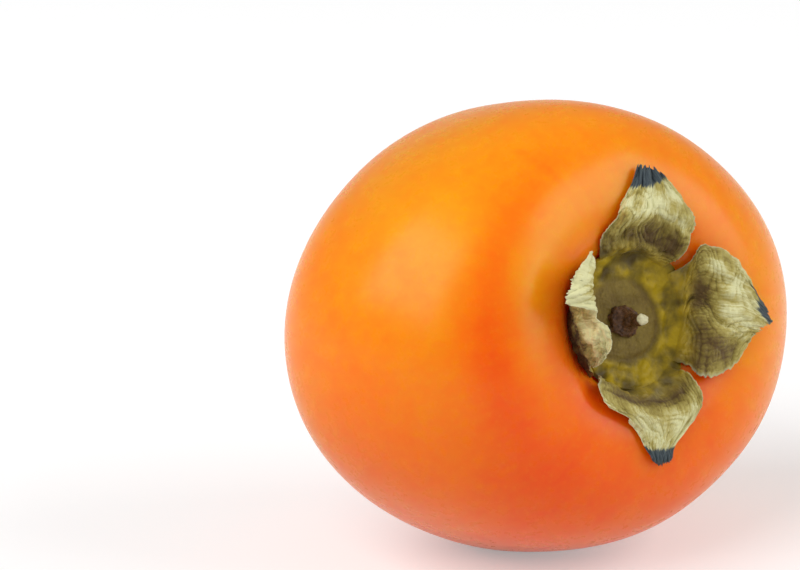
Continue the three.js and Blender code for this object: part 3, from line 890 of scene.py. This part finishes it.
@dataclass
class Sepal:
    """One dried lobe: a thin sheet through a net of points, with veins, crumples and torn edges.

    Sizes are in millimetres. Places on the lobe are along, 0 at its base to 1 at its tip, and
    across, -1 at its left edge to 1 at its right edge as seen from the middle of the calyx.

    Attributes:
        lobe: which lobe it is.
        rows: the net's points (x, y, height over the stem's base), a row across the lobe for each
            place along it.
        seed: which relief it has.
        tears: its torn notches; shades are its patches of painted shade and painted highlight.
        black_from: where its withered tip starts along it, and black_slant how that grows across it.
        root_end: how far the waxy tissue reaches up it.
        tones: how pale it is at its base and at its tip.
        veins: how many parallel veins it has, in relief of vein_height.
        pleats: how many wandering pleats it has, in relief of pleat_height.
        crumple: the height of its random crumples, and ruffle that of its waving edges.
        half_thickness: half of the sheet's thickness.
        tuck: how far it runs on below its base, as a share of its length.
        usual_size: the length and half the width that its patterns are scaled for.
        steps: points along the sheet, and spans those across it.
    """

    lobe: Lobe
    rows: list[list[Point]]
    seed: int
    tears: list[Tear] = field(default_factory=list)
    shades: list[Shade] = field(default_factory=list)
    black_from: float = 0.85
    black_slant: float = 0.0
    root_end: float = 0.2
    tones: tuple[float, float] = (0.3, 0.74)
    veins: int = 34
    vein_height: float = 0.06
    pleats: float = 4.0
    pleat_height: float = 0.24
    crumple: float = 0.22
    ruffle: float = 0.20
    half_thickness: float = 0.14
    tuck: float = 0.09
    usual_size: tuple[float, float] = (14.0, 8.0)
    steps: int = 190
    spans: int = 180

    def sheet(self, along: Array, across: Array) -> Array:
        """Points of the smooth sheet: Catmull-Rom curves both ways through the net.

        Args:
            along: 0 at the base to 1 at the tip.
            across: -1 at the left edge to 1 at the right edge.

        Returns:
            Points in the fruit's frame, in millimetres.
        """
        net = np.array(self.rows, float) + np.array([0, 0, STEM_BASE])
        net = np.concatenate([2 * net[:1] - net[1:2], net, 2 * net[-1:] - net[-2:-1]])
        before, after = 2 * net[:, :1] - net[:, 1:2], 2 * net[:, -1:] - net[:, -2:-1]
        net = np.concatenate([before, net, after], axis=1)
        row, row_weights = self.weights(along, net.shape[0] - 2)
        column, column_weights = self.weights((across + 1) / 2, net.shape[1] - 2)
        total = np.zeros(along.shape + (3,))
        for i in range(4):
            for j in range(4):
                total += (row_weights[i] * column_weights[j])[..., None] * net[row + i, column + j]
        return total

    @staticmethod
    def weights(place: Array, count: int) -> tuple[Array, list[Array]]:
        """The cubic Catmull-Rom weights of the four net points round each place of a curve.

        Args:
            place: 0 to 1 along the curve.
            count: how many points the curve goes through.

        Returns:
            The index of the first of the four points, and the weight of each of the four.
        """
        scaled = place * (count - 1)
        start = np.clip(np.floor(scaled).astype(int), 0, count - 2)
        t = scaled - start
        return start, [(-t + 2 * t ** 2 - t ** 3) / 2, (2 - 5 * t ** 2 + 3 * t ** 3) / 2,
                       (t + 4 * t ** 2 - 3 * t ** 3) / 2, (-t ** 2 + t ** 3) / 2]

    def ragged(self, place: Array, edge: Edge) -> Array:
        """How much of the sheet is missing at one edge: fine nicks, and that edge's torn notches.

        Args:
            place: 0 to 1 along the edge.
            edge: which edge it is.

        Returns:
            The missing share of the lobe at each place.
        """
        line = np.stack([place * 10, 0 * place], -1)
        seed = self.seed + edge.value
        nicks = (0.018 * np.abs(waves(line, 1.1, seed)) + 0.012 * np.abs(waves(line, 0.35, seed + 7)))
        for tear in self.tears:
            if tear.edge is edge:
                reach = 1 - np.abs(place - tear.place) / tear.width
                nicks = nicks + tear.depth * np.clip(reach, 0, 1) ** 0.8
        return nicks

    def flat(self, along: Array, across: Array) -> Array:
        """Places on the lobe laid flat, as (across, along) in millimetres, for its random patterns."""
        length, half_width = self.usual_size
        return np.stack([across * half_width, along * length], -1)

    def relief(self, along: Array, across: Array) -> tuple[Array, Array, Array]:
        """How far the sheet stands off its smooth shape.

        Veins are ridges of abs(cos) across the lobe, and pleats the same, but wide and swaying.
        Crumples are random waves, the larger ones longer along the lobe than across it. The ruffle
        grows with the square of the distance from the midrib. All fade at the base. Patches are
        dented.

        Args:
            along: places along the lobe.
            across: places across it.

        Returns:
            The veins and the pleats alone, about -0.7 to 0.4, and the whole relief in millimetres.
        """
        flat = self.flat(along, across)
        grown = ease(along / 0.16)
        warp = 0.25 * waves(flat, 6.0, self.seed + 20)
        phase = (across * self.veins / 2 + warp) * math.pi
        veins = (np.abs(np.cos(phase)) ** 0.6 - 0.7) * grown
        crumples = (waves(flat * np.array([1.0, 0.5]), 2.8, self.seed + 30)
                    + 0.5 * waves(flat * np.array([1.0, 0.6]), 1.2, self.seed + 31)
                    + 0.25 * waves(flat * np.array([0.8, 1.0]), 0.6, self.seed + 32))
        ruffle = waves(flat * np.array([0.3, 1.0]), 3.4, self.seed + 40) * across ** 2 * grown
        sway = 1.3 * waves(flat, 7.0, self.seed + 60)
        pleats = (np.abs(np.cos((across * self.pleats / 2 + sway) * math.pi)) - 0.6) * grown
        relief = self.vein_height * veins + self.crumple * crumples * grown + self.pleat_height * pleats
        for shade in self.shades:
            relief = relief - shade.dent * shade.cover(across, along)
        return veins, pleats, relief + self.ruffle * ruffle

    def build(self, flesh: Flesh, material: bpy.types.Material) -> bpy.types.Object:
        """Builds the lobe: the sheet with its relief, thickened to both sides and closed at its edge.

        The grid's points are u along the sheet and v across it; the ragged edges draw them in. The
        base sinks into the middle of the calyx, and the sheet thins to a papery rim.

        Args:
            flesh: the flesh that it lies on.
            material: the lobes' shared material.

        Returns:
            The lobe.
        """
        u = np.linspace(0, 1, self.steps)[:, None] + np.zeros((1, self.spans))
        v = np.linspace(-1, 1, self.spans)[None, :] + np.zeros((self.steps, 1))
        left, right = self.ragged(u, Edge.LEFT), self.ragged(u, Edge.RIGHT)
        across = np.where(v < 0, v * (1 - left), v * (1 - right))
        end = 1 - self.ragged((v + 1) / 2, Edge.TIP)
        along = -self.tuck + (end + self.tuck) * u
        smooth = self.sheet(along, across)
        veins, pleats, relief = self.relief(along, across)
        root = 1 - ease((along - 0.3 * self.root_end) / self.root_end)
        swell = folds(smooth[..., :2]) * root
        sink = np.array([0, 0, 1.0]) * ease((0.02 - along) / (0.02 + self.tuck))[..., None]
        lifted = smooth + facing(smooth) * (relief + swell)[..., None] - sink
        edge = np.maximum(np.abs(v) ** 6, u ** 24)
        half = facing(lifted) * (self.half_thickness * (1 - 0.65 * edge)[..., None])
        sides = np.concatenate([(lifted + half).reshape(-1, 3), (lifted - half).reshape(-1, 3)])
        spread = np.stack([(v + 1) / 2, u], -1)
        piece = make_piece(self.lobe.value.replace("sepal", "lobe"), flesh.lay_down(sides), self.faces(),
                           self.marks(along, across, veins, pleats, edge, root, swell),
                           np.concatenate([spread, spread]))
        piece.data.materials.append(material)
        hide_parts(self.lobe.value)
        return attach(piece, "root")

    def faces(self) -> list[Array]:
        """The faces of the upper side, of the lower side, turned over, and of the rim between them.

        Returns:
            Three arrays of four point indices for each face; the lower side's points come second.
        """
        count = self.steps * self.spans
        upper = grid_quads(self.steps, self.spans)
        order = np.arange(count).reshape(self.steps, self.spans)
        loop = np.concatenate([order[0, :-1], order[:-1, -1], order[-1, :0:-1], order[:0:-1, 0]])
        after = np.roll(loop, -1)
        rim = np.stack([loop, loop + count, after + count, after], -1)
        return [upper, upper[:, ::-1] + count, rim]

    def marks(self, along: Array, across: Array, veins: Array, pleats: Array, edge: Array, root: Array,
              swell: Array) -> dict[str, Array]:
        """What the finish reads at each point.

        The tone goes from dark to light along the lobe, plus painted shade in its pleats' folds with
        paler crests, random patches, and its shades of painted shade and painted highlight.
        The withered tip starts at a slanting, streaky line.

        Args:
            along: places along the lobe.
            across: places across it.
            veins: its veins.
            pleats: its pleats.
            edge: 0 inside the sheet to 1 at its rim.
            root: 1 in its waxy root to 0 outside it.
            swell: the height of the waxy folds.

        Returns:
            The marks by name, for the upper side's points and then the lower side's.
        """
        dark, light = self.tones
        patches = waves(self.flat(along, across), 4.0, self.seed + 70)
        # painted shade: darker in the pleats' folds and paler on their crests
        tone = dark + (light - dark) * ease((along - 0.1) / 0.6) + 0.16 * pleats + 0.14 * patches
        # painted shade and painted highlight: the lobe's shade patches
        for shade in self.shades:
            tone = tone + shade.tone * shade.cover(across, along)
        streaky = 0.012 * waves(np.stack([across * 8, along * 2], -1), 0.5, self.seed + 50)
        start = self.black_from + self.black_slant * np.maximum(across + 0.2, 0)
        tip = ease((along + streaky - start) / 0.02)
        rim = 0.45 * ease((edge - 0.75) / 0.25) * ease(along / 0.3)
        upper = {"tone": tone, "veins": veins, "rim": rim, "tip": tip, "root": root, "swell": swell}
        both = {name: np.concatenate([values.ravel()] * 2) for name, values in upper.items()}
        both["under"] = np.repeat([0.0, 1.0], along.size)
        return both


def calyx_lobes() -> list[Sepal]:
    """The calyx's lobes, clockwise from the one that points up.

    Returns:
        The four lobes, each with the net of points that its solid is made from.
    """
    return [
        Sepal(Lobe.UPPER, seed=100, rows=[
            [(-3.3, 10.9, 1.3), (-0.6, 11.3, 1.3), (2.2, 11.1, 1.3), (4.8, 10.3, 1.3), (7.1, 8.8, 1.3),
             (8.9, 7.0, 1.3)],
            [(-4.5, 12.8, 3.6), (-1.0, 12.6, 3.2), (2.6, 12.3, 3.2), (6.0, 10.8, 2.4), (8.5, 9.0, 2.5),
             (10.1, 7.7, 3.2)],
            [(-4.1, 15.2, 5.0), (-1.3, 14.7, 5.2), (1.7, 14.5, 5.8), (5.8, 12.7, 3.9), (9.2, 10.6, 4.4),
             (11.3, 9.2, 5.3)],
            [(-1.5, 17.3, 5.4), (0.0, 16.8, 6.8), (2.4, 16.2, 7.5), (6.3, 15.3, 6.2), (9.6, 13.4, 6.2),
             (12.2, 11.4, 6.2)],
            [(-0.7, 19.0, 5.6), (1.2, 18.7, 6.8), (3.4, 18.3, 7.5), (6.3, 17.5, 7.5), (9.9, 15.9, 7.0),
             (13.5, 13.7, 6.0)],
            [(1.5, 21.0, 5.5), (3.4, 20.8, 5.9), (5.3, 20.5, 6.2), (7.7, 19.8, 6.1), (10.0, 18.6, 5.8),
             (12.6, 16.8, 5.5)],
            [(5.0, 24.7, 4.6), (5.7, 24.5, 4.7), (6.6, 24.1, 4.8), (7.3, 23.7, 4.8), (8.2, 23.0, 4.9),
             (8.7, 22.3, 5.0)],
        ], black_from=0.83, black_slant=0.12,
            # shades: painted shade in the pouch, partly brown staining, and painted highlight towards the
            # tip
            shades=[Shade(0.35, 0.33, (0.6, 0.15), -0.36, 0.35), Shade(-0.1, 0.66, (0.5, 0.14), 0.26)]),
        Sepal(Lobe.RIGHT, seed=200, rows=[
            [(9.6, 6.0, 1.3), (11.0, 2.7, 1.3), (11.3, -1.4, 1.3), (10.7, -3.9, 1.3), (9.5, -6.2, 1.3),
             (7.9, -8.2, 1.3)],
            [(12.1, 7.3, 4.6), (12.6, 5.6, 4.0), (12.3, 2.0, 2.6), (12.1, -0.9, 2.4), (11.0, -5.0, 3.2),
             (9.0, -9.2, 3.2)],
            [(13.8, 9.6, 5.4), (13.6, 6.6, 6.2), (13.8, 1.9, 4.2), (13.5, -1.0, 4.0), (12.0, -5.2, 5.6),
             (10.0, -11.3, 4.9)],
            [(16.3, 9.4, 5.6), (15.5, 5.7, 7.3), (15.4, 0.9, 5.0), (15.2, -2.1, 5.0), (13.9, -5.6, 6.8),
             (12.1, -11.9, 5.5)],
            [(19.2, 7.5, 5.7), (18.4, 4.2, 7.2), (17.4, 0.3, 6.9), (16.3, -3.2, 7.0), (17.5, -6.0, 5.9),
             (15.9, -11.1, 5.7)],
            [(21.7, 5.1, 5.7), (21.4, 2.2, 6.3), (20.5, -0.8, 6.9), (19.6, -3.9, 6.9),
             (20.2, -5.8, 5.8), (19.4, -8.3, 5.7)],
            [(23.7, -1.4, 5.6), (24.8, -2.7, 5.3), (26.1, -5.1, 5.5), (24.9, -5.7, 5.3),
             (22.8, -6.2, 5.5), (21.6, -6.3, 5.7)],
        ], black_from=0.9, black_slant=0.3, root_end=0.24, tones=(0.24, 0.72),
            # shades: painted shade in the valley and on the lower bulge, partly brown colour, and painted
            # highlight on the ridge and near the tip
            shades=[Shade(-0.15, 0.33, (0.28, 0.22), -0.36, 0.2), Shade(0.75, 0.45, (0.5, 0.38), -0.26),
                    Shade(-0.55, 0.5, (0.25, 0.3), 0.1), Shade(0.1, 0.72, (0.45, 0.16), 0.22)]),
        Sepal(Lobe.LOWER, seed=300, rows=[
            [(7.1, -8.8, 1.3), (3.9, -10.7, 1.3), (0.0, -11.3, 1.3), (-4.1, -10.6, 1.3),
             (-7.4, -8.6, 1.3)],
            [(8.2, -10.1, 3.8), (5.9, -11.8, 3.3), (0.9, -12.7, 2.8), (-4.8, -10.6, 3.2),
             (-9.7, -7.2, 4.0)],
            [(8.8, -11.7, 5.0), (6.3, -13.5, 4.7), (1.3, -14.0, 4.0), (-5.5, -12.2, 5.0),
             (-11.1, -8.6, 5.2)],
            [(9.2, -13.8, 5.4), (6.5, -15.4, 5.3), (0.6, -15.5, 5.6), (-5.5, -13.8, 6.2),
             (-10.7, -11.0, 5.8)],
            [(8.6, -16.1, 5.6), (5.6, -17.0, 5.5), (0.7, -16.7, 5.9), (-4.2, -15.2, 6.0),
             (-8.9, -13.5, 5.6)],
            [(5.4, -18.7, 5.5), (3.4, -18.9, 5.5), (0.4, -18.4, 5.5), (-2.6, -17.6, 5.4),
             (-5.4, -16.4, 5.4)],
            [(2.4, -20.6, 5.5), (1.0, -20.8, 5.5), (-0.8, -20.4, 5.5), (-2.6, -20.1, 5.5),
             (-4.1, -19.3, 5.5)],
            [(1.1, -23.1, 5.2), (0.3, -23.5, 5.1), (-1.0, -23.8, 5.0), (-2.0, -23.2, 5.2),
             (-2.7, -22.3, 5.3)],
        ], black_from=0.87, tones=(0.32, 0.84), pleat_height=0.18, crumple=0.16,
            # shades: painted shade in the crease near the base
            tears=[Tear(Edge.RIGHT, 0.64, 0.08, 0.24)], shades=[Shade(0.0, 0.22, (0.8, 0.1), -0.3, 0.3)]),
        Sepal(Lobe.LEFT, seed=400, rows=[
            [(-8.2, -7.2, 1.3), (-9.8, -4.4, 1.3), (-10.8, -0.4, 1.3), (-10.4, 3.8, 1.3),
             (-8.8, 7.1, 1.3), (-6.0, 9.6, 1.3)],
            [(-9.3, -5.8, 2.4), (-10.7, -2.8, 2.8), (-11.8, 0.8, 3.1), (-11.8, 4.8, 3.4),
             (-10.4, 7.8, 3.4), (-7.2, 10.7, 3.0)],
            [(-9.6, -5.8, 3.6), (-11.4, -2.7, 4.8), (-12.6, 1.1, 5.3), (-12.8, 5.0, 5.6),
             (-11.6, 8.0, 5.6), (-8.3, 10.9, 5.0)],
            [(-9.7, -5.6, 4.7), (-11.4, -2.8, 6.8), (-12.6, 1.0, 7.6), (-13.6, 5.0, 8.2),
             (-12.7, 8.1, 8.2), (-9.3, 11.2, 7.2)],
            [(-9.9, -5.3, 5.5), (-10.9, -2.7, 8.6), (-12.3, 1.0, 10.4), (-13.6, 4.9, 11.4),
             (-13.2, 8.0, 11.4), (-10.9, 12.0, 10.0)],
            [(-10.0, -4.9, 6.2), (-10.4, -3.4, 9.6), (-11.7, 1.0, 11.6), (-18.0, 5.4, 10.2),
             (-16.5, 9.6, 10.6), (-11.1, 13.5, 10.4)],
        ], black_from=2.0, tones=(0.18, 0.78),
            tears=[Tear(Edge.TIP, 0.50, 0.10, 0.22), Tear(Edge.TIP, 0.12, 0.08, 0.12)],
            # shades: paler towards its free edge
            shades=[Shade(0.4, 0.95, (0.9, 0.16), 0.25), Shade(-0.3, 0.95, (0.4, 0.25), 0.3)]),
    ]


@dataclass
class StemStub:
    """The stub of the stem: a flared, corky foot and a short stick with a pale, snapped end.

    Sizes are in millimetres.

    Attributes:
        finish: its finish.
        profile: pairs of a share of the height and the radius there.
        height: from its foot to its end; lean is how far the end is to the right of the foot.
        lift: how far the foot is above the calyx's middle.
        rings: rings of points from end to end, and around the points in a ring.
    """

    finish: StemBark
    profile: tuple[tuple[float, float], ...] = (
        (0.0, 2.75), (0.12, 2.6), (0.25, 1.95), (0.42, 1.3), (0.6, 1.08), (0.8, 1.02), (0.95, 1.0),
        (1.0, 0.75))
    height: float = 4.9
    lean: float = 0.6
    lift: float = 0.04
    rings: int = 70
    around: int = 72

    def build(self, flesh: Flesh) -> bpy.types.Object:
        """Builds the stub: a radius for each height, oval and roughened by random waves.

        It leans with the square of the height.

        Args:
            flesh: the flesh that its calyx lies on.

        Returns:
            The stub.
        """
        places, radii = zip(*self.profile)
        climb = np.linspace(0, 1, self.rings)[:, None]
        turn = full_turn(self.around)
        radius = np.interp(climb, places, radii) * (1 + 0.10 * np.cos(2 * turn + 1.0))
        height = climb * self.height
        rough = round_axis(radius, turn, height)
        radius = radius * (1 + 0.07 * waves(rough, 1.4, seed=61) + 0.03 * waves(rough, 0.5, seed=62))
        tip = np.where(climb > 0.93, 0.12 * waves(rough, 0.7, seed=63), 0)
        points = round_axis(radius, turn, height + tip + STEM_BASE + self.lift)
        points[..., 0] += self.lean * climb ** 2
        cut = ease((climb - 0.90) / 0.06) + 0 * turn
        piece = closed_lathe("stem_stick", flesh.lay_down(points), {"cut": cut})
        piece.data.materials.append(self.finish.make())
        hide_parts("stem_stub")
        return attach(piece, "root")


@dataclass
class BlossomTip:
    """The withered tip of the style, in the hollow at the blossom end.

    Sizes are in millimetres; foot is how deep it is sunk in the flesh.
    """

    finish: DriedStyle
    radius: float = 1.25
    height: float = 1.5
    foot: float = 0.1
    rings: int = 40
    around: int = 48

    def build(self, flesh: Flesh) -> bpy.types.Object:
        """Builds the tip: a blunt, wrinkled cone that stands out of the blossom hollow.

        The radius grows with the square root of the distance from the tip's end; its foot is sunk
        in the flesh.

        Args:
            flesh: the flesh that it stands on.

        Returns:
            The tip.
        """
        floor = flesh.surface(np.array([[math.pi]]), np.array([[0.0]]))[0, 0, 2]
        climb = np.linspace(0, 1, self.rings)[:, None]
        turn = full_turn(self.around)
        radius = self.radius * np.sqrt(np.clip(climb, 0.002, 1)) * (1 + 0.12 * np.cos(5 * turn))
        rough = round_axis(radius, turn, climb * 2)
        radius = radius * (1 + 0.10 * waves(rough, 0.8, seed=71))
        height = floor - self.height * (1 - climb) + self.foot
        piece = closed_lathe("style_remnant", flesh.lay_down(round_axis(radius, turn, height)))
        piece.data.materials.append(self.finish.make())
        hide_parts("blossom_tip")
        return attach(piece, "root")


# ---------------------------------------------------------------- the studio

@dataclass(frozen=True)
class Softbox:
    """A rectangular area lamp, hung round the fruit and turned to it.

    Attributes:
        name: the lamp's name.
        turn: degrees round the fruit from the camera, towards the camera's right.
        rise: degrees above the camera.
        size: its width and height, in metres.
        glow: how bright its face is; a face of 1 filling the whole sky would light white to 1.
        distance: metres from the fruit's middle.
    """

    name: str
    turn: float
    rise: float
    size: tuple[float, float]
    glow: float
    distance: float = 1.6


@dataclass
class Studio:
    """A pale floor with a low curved wall round it, soft lamps and the camera.

    Lengths are in metres, but for the sensor's width in millimetres.

    Attributes:
        azimuth: the camera's turn round the fruit, in degrees; elevation is how far it looks down.
        distance: from the fruit's middle to the camera.
        frame_width: how wide the view is at that distance.
        aim_right: how far right of the fruit's middle the camera looks, and aim_up how far above.
        sensor: the sensor's width.
        surround: the strength of the white world.
        floor_colour: the floor's own colour.
        floor_glow: what is added to it where the camera or the wax sees it, so that it shows white.
        floor_reach: how far the floor is level from the fruit.
        floor_bend: the radius of the bend up into its wall.
        floor_sides: points round the floor.
        lamps: the soft lamps.
    """

    azimuth: float = -37.64
    elevation: float = 17.7
    distance: float = 0.75
    frame_width: float = 0.13256
    aim_right: float = -0.0213
    aim_up: float = 0.0068
    sensor: float = 36.0
    surround: float = 0.26
    floor_colour: str = "#e2e2e2"
    floor_glow: float = 0.33
    floor_reach: float = 2.6
    floor_bend: float = 0.5
    floor_sides: int = 96
    lamps: list[Softbox] = field(default_factory=lambda: [
        Softbox("left_softbox", -45.0, 32.0, (1.95, 1.15), 3.5),
        Softbox("right_softbox", 74.0, 25.0, (1.35, 1.15), 3.3),
    ])

    def axes(self) -> tuple[Vector, Vector, Vector]:
        """The camera's directions, if it looked straight at the fruit's middle.

        Returns:
            The ways to its right, up and back.
        """
        turn, rise = math.radians(self.azimuth), math.radians(self.elevation)
        back = Vector((math.sin(turn) * math.cos(rise), -math.cos(turn) * math.cos(rise),
                       math.sin(rise)))
        right = Vector((math.cos(turn), math.sin(turn), 0))
        return right, back.cross(right), back

    def place_camera(self, middle: Vector) -> None:
        """Sets the camera at its viewing angle, turned so that the fruit stands right of the middle.

        Args:
            middle: the fruit's centre.
        """
        right, up, back = self.axes()
        data = bpy.data.cameras.new("camera")
        data.sensor_width = self.sensor
        data.lens = self.sensor * self.distance / self.frame_width
        data.clip_start = 0.05
        data.clip_end = 20
        camera = bpy.data.objects.new("camera", data)
        bpy.context.scene.collection.objects.link(camera)
        eye = middle + back * self.distance
        target = middle + right * self.aim_right + up * self.aim_up
        away = (eye - target).normalized()
        side = up.cross(away).normalized()
        rise = away.cross(side)
        camera.matrix_world = Matrix(((side.x, rise.x, away.x, eye.x), (side.y, rise.y, away.y, eye.y),
                                      (side.z, rise.z, away.z, eye.z), (0, 0, 0, 1)))
        bpy.context.scene.camera = camera

    def light(self, middle: Vector) -> None:
        """Hangs the soft lamps round the fruit, placed from the camera's own directions.

        A face of glow L and area A gives out pi * L * A watts.

        Args:
            middle: the fruit's centre.
        """
        right, up, back = self.axes()
        for lamp in self.lamps:
            data = bpy.data.lights.new(lamp.name, "AREA")
            data.shape = "RECTANGLE"
            data.size, data.size_y = lamp.size
            data.energy = math.pi * lamp.glow * lamp.size[0] * lamp.size[1]
            spot = bpy.data.objects.new(lamp.name, data)
            bpy.context.scene.collection.objects.link(spot)
            turn, rise = math.radians(lamp.turn), math.radians(lamp.rise)
            aim = (right * math.sin(turn) + back * math.cos(turn)) * math.cos(rise) + up * math.sin(rise)
            spot.location = middle + aim * lamp.distance
            spot.rotation_euler = aim.to_track_quat("Z", "Y").to_euler()

    def surroundings(self) -> None:
        """A plain, dim white world."""
        world = bpy.data.worlds.new("studio")
        bpy.context.scene.world = world
        world.use_nodes = True
        world.node_tree.nodes.clear()
        glow = add(world, "Background", {"Color": (1, 1, 1, 1), "Strength": self.surround})
        add(world, "OutputWorld", {"Surface": glow.outputs[0]})

    def floor(self) -> bpy.types.Object:
        """A round pale floor that bends up into a low wall, shows as white and keeps the fruit's shadow.

        Its profile is level, and then a quarter circle.

        Returns:
            The floor.
        """
        bend = np.linspace(0, math.pi / 2, 13)[1:]
        level = np.linspace(0.05, self.floor_reach, 12)
        outward = np.concatenate([level, self.floor_reach + self.floor_bend * np.sin(bend)])
        height = np.concatenate([0 * level, self.floor_bend - self.floor_bend * np.cos(bend)])
        rings = round_axis(outward[:, None], full_turn(self.floor_sides), height[:, None])
        floor = make_piece("floor", rings, [
            grid_quads(len(outward), self.floor_sides, closed=True)[:, ::-1],
            np.arange(self.floor_sides)[None, :]])
        material = blank("pale_floor")
        matt = add(material, "BsdfDiffuse", {"Color": linear(self.floor_colour)})
        glow = add(material, "Emission", {"Color": (1, 1, 1, 1), "Strength": self.floor_glow})
        both = add(material, "AddShader", {0: matt.outputs[0], 1: glow.outputs[0]})
        path = add(material, "LightPath").outputs
        seen = add(material, "Math", {0: path["Is Camera Ray"], 1: path["Is Glossy Ray"]},
                   operation="MAXIMUM")
        seen = add(material, "Math", {0: seen.outputs[0], 1: path["Is Transmission Ray"]},
                   operation="MAXIMUM")
        shown = add(material, "MixShader", {0: seen.outputs[0], 1: matt.outputs[0], 2: both.outputs[0]})
        add(material, "OutputMaterial", {"Surface": shown.outputs[0]})
        floor.data.materials.append(material)
        return floor


def main() -> None:
    logging.basicConfig(level=logging.INFO, format="%(name)s: %(message)s")
    bpy.context.scene.view_settings.view_transform = "Standard"
    flesh = Flesh(WaxySkin())
    studio = Studio()
    studio.place_camera(flesh.middle())
    studio.light(flesh.middle())
    studio.surroundings()
    studio.floor()
    pieces = [flesh.build(), CalyxDisc(FleshyCalyx()).build(flesh)]
    sepal_material = DriedSepal().make()
    pieces += [sepal.build(flesh, sepal_material) for sepal in calyx_lobes()]
    pieces += [StemStub(StemBark()).build(flesh), BlossomTip(DriedStyle()).build(flesh)]
    for piece in pieces:
        logger.info("%s: %d faces", piece.name, len(piece.data.polygons))


if __name__ == "__main__":
    main()
